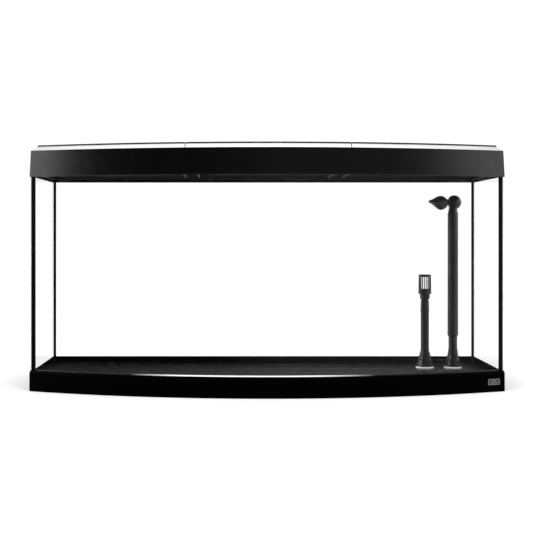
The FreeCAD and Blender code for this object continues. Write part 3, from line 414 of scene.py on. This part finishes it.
def floor():
    """Plain pale floor, far wider than the view."""
    mesh = bpy.data.meshes.new("floor")
    signs = ((-1, -1), (1, -1), (1, 1), (-1, 1))
    corners = [(x * FLOOR_REACH, y * FLOOR_REACH, -FLOOR_DROP) for x, y in signs]
    mesh.from_pydata(corners, [], [(0, 1, 2, 3)])
    obj = bpy.data.objects.new("floor", mesh)
    scene.collection.objects.link(obj)
    g = Graph("floor_paint")
    tone = g.noise(1.5, 3.0)
    g.set(Base_Color=g.blend(tone, grey(0.87), grey(0.89)), Roughness=0.9, Specular_IOR_Level=0.0)
    mesh.materials.append(g.material)
    obj.visible_glossy = False


def softbox(name, place, target, wide, tall, power):
    """Rectangular light at place that points at target."""
    data = bpy.data.lights.new(name, "AREA")
    data.shape = "RECTANGLE"
    data.size = wide
    data.size_y = tall
    data.energy = power
    lamp = bpy.data.objects.new(name, data)
    lamp.location = place
    lamp.rotation_euler = (Vector(target) - Vector(place)).to_track_quat("-Z", "Y").to_euler()
    scene.collection.objects.link(lamp)


class Studio:
    """World nodes: a white backdrop, seen in reflections as a dark room with bright sides and top."""

    def __init__(self):
        self.world = bpy.data.worlds.new("studio")
        self.world.use_nodes = True
        self.tree = self.world.node_tree
        scene.world = self.world
        split = self.tree.nodes.new("ShaderNodeSeparateXYZ")
        coord = self.tree.nodes.new("ShaderNodeTexCoord")
        self.tree.links.new(coord.outputs["Generated"], split.inputs[0])
        self.x, self.y, self.z = split.outputs
        self.path = self.tree.nodes.new("ShaderNodeLightPath")

    def ramp(self, source, start, end, low, high):
        """Smooth step from low at start to high at end."""
        made = self.tree.nodes.new("ShaderNodeMapRange")
        made.interpolation_type = "SMOOTHSTEP"
        self.tree.links.new(source, made.inputs["Value"])
        for key, value in (("From Min", start), ("From Max", end), ("To Min", low), ("To Max", high)):
            made.inputs[key].default_value = value
        return made.outputs["Result"]

    def math(self, operation, first, second):
        """Result of a Math node on two sockets or numbers."""
        made = self.tree.nodes.new("ShaderNodeMath")
        made.operation = operation
        for socket, value in zip(made.inputs, (first, second)):
            if isinstance(value, bpy.types.NodeSocket):
                self.tree.links.new(value, socket)
            else:
                socket.default_value = value
        return made.outputs[0]

    def mix(self, factor, first, second):
        """Value between first and second."""
        made = self.tree.nodes.new("ShaderNodeMix")
        for index, value in ((0, factor), (2, first), (3, second)):
            if isinstance(value, bpy.types.NodeSocket):
                self.tree.links.new(value, made.inputs[index])
            else:
                made.inputs[index].default_value = value
        return made.outputs[0]

    def build(self):
        """Joins the nodes. Every direction's X, Y and Z run from -1 to 1."""
        above_horizon = self.ramp(self.z, 0.06, 0.15, 0.0, 1.0)
        left = self.math("MULTIPLY", self.ramp(self.x, -0.70, -0.95, 0.0, MIRRORED_LEFT), above_horizon)
        right = self.math("MULTIPLY", self.ramp(self.x, 0.60, 0.92, 0.0, MIRRORED_RIGHT), above_horizon)
        walls = self.ramp(self.x, -0.25, 0.15, 0.01, 0.15)
        rear = self.ramp(self.y, 0.2, 0.5, 0.0, 1.0)
        horizon = self.math("MULTIPLY", rear, self.ramp(self.z, 0.10, 0.06, 0.0, 1.0))
        sides = self.math("ADD", self.math("ADD", left, right), walls)
        room = self.math("MAXIMUM", sides, self.ramp(self.z, 0.55, 0.85, 0.0, MIRRORED_ABOVE))
        mirrored = self.mix(horizon, room, MIRRORED_HORIZON)
        lit = self.ramp(self.y, -0.6, 0.6, LIT_FROM_FRONT, LIT_FROM_REAR)
        unseen = self.mix(self.path.outputs["Is Glossy Ray"], lit, mirrored)
        final = self.mix(self.path.outputs["Is Camera Ray"], unseen, BACKDROP)
        background = self.tree.nodes["Background"]
        self.tree.links.new(final, background.inputs["Strength"])
        background.inputs["Color"].default_value = (1, 1, 1, 1)


floor()
Studio().build()
softbox("overhead", (0, -0.7, 2.6), (0, 0, 0.3), 1.6, 1.6, 12)

scene.view_settings.view_transform = "Standard"
scene.cycles.transparent_max_bounces = 24
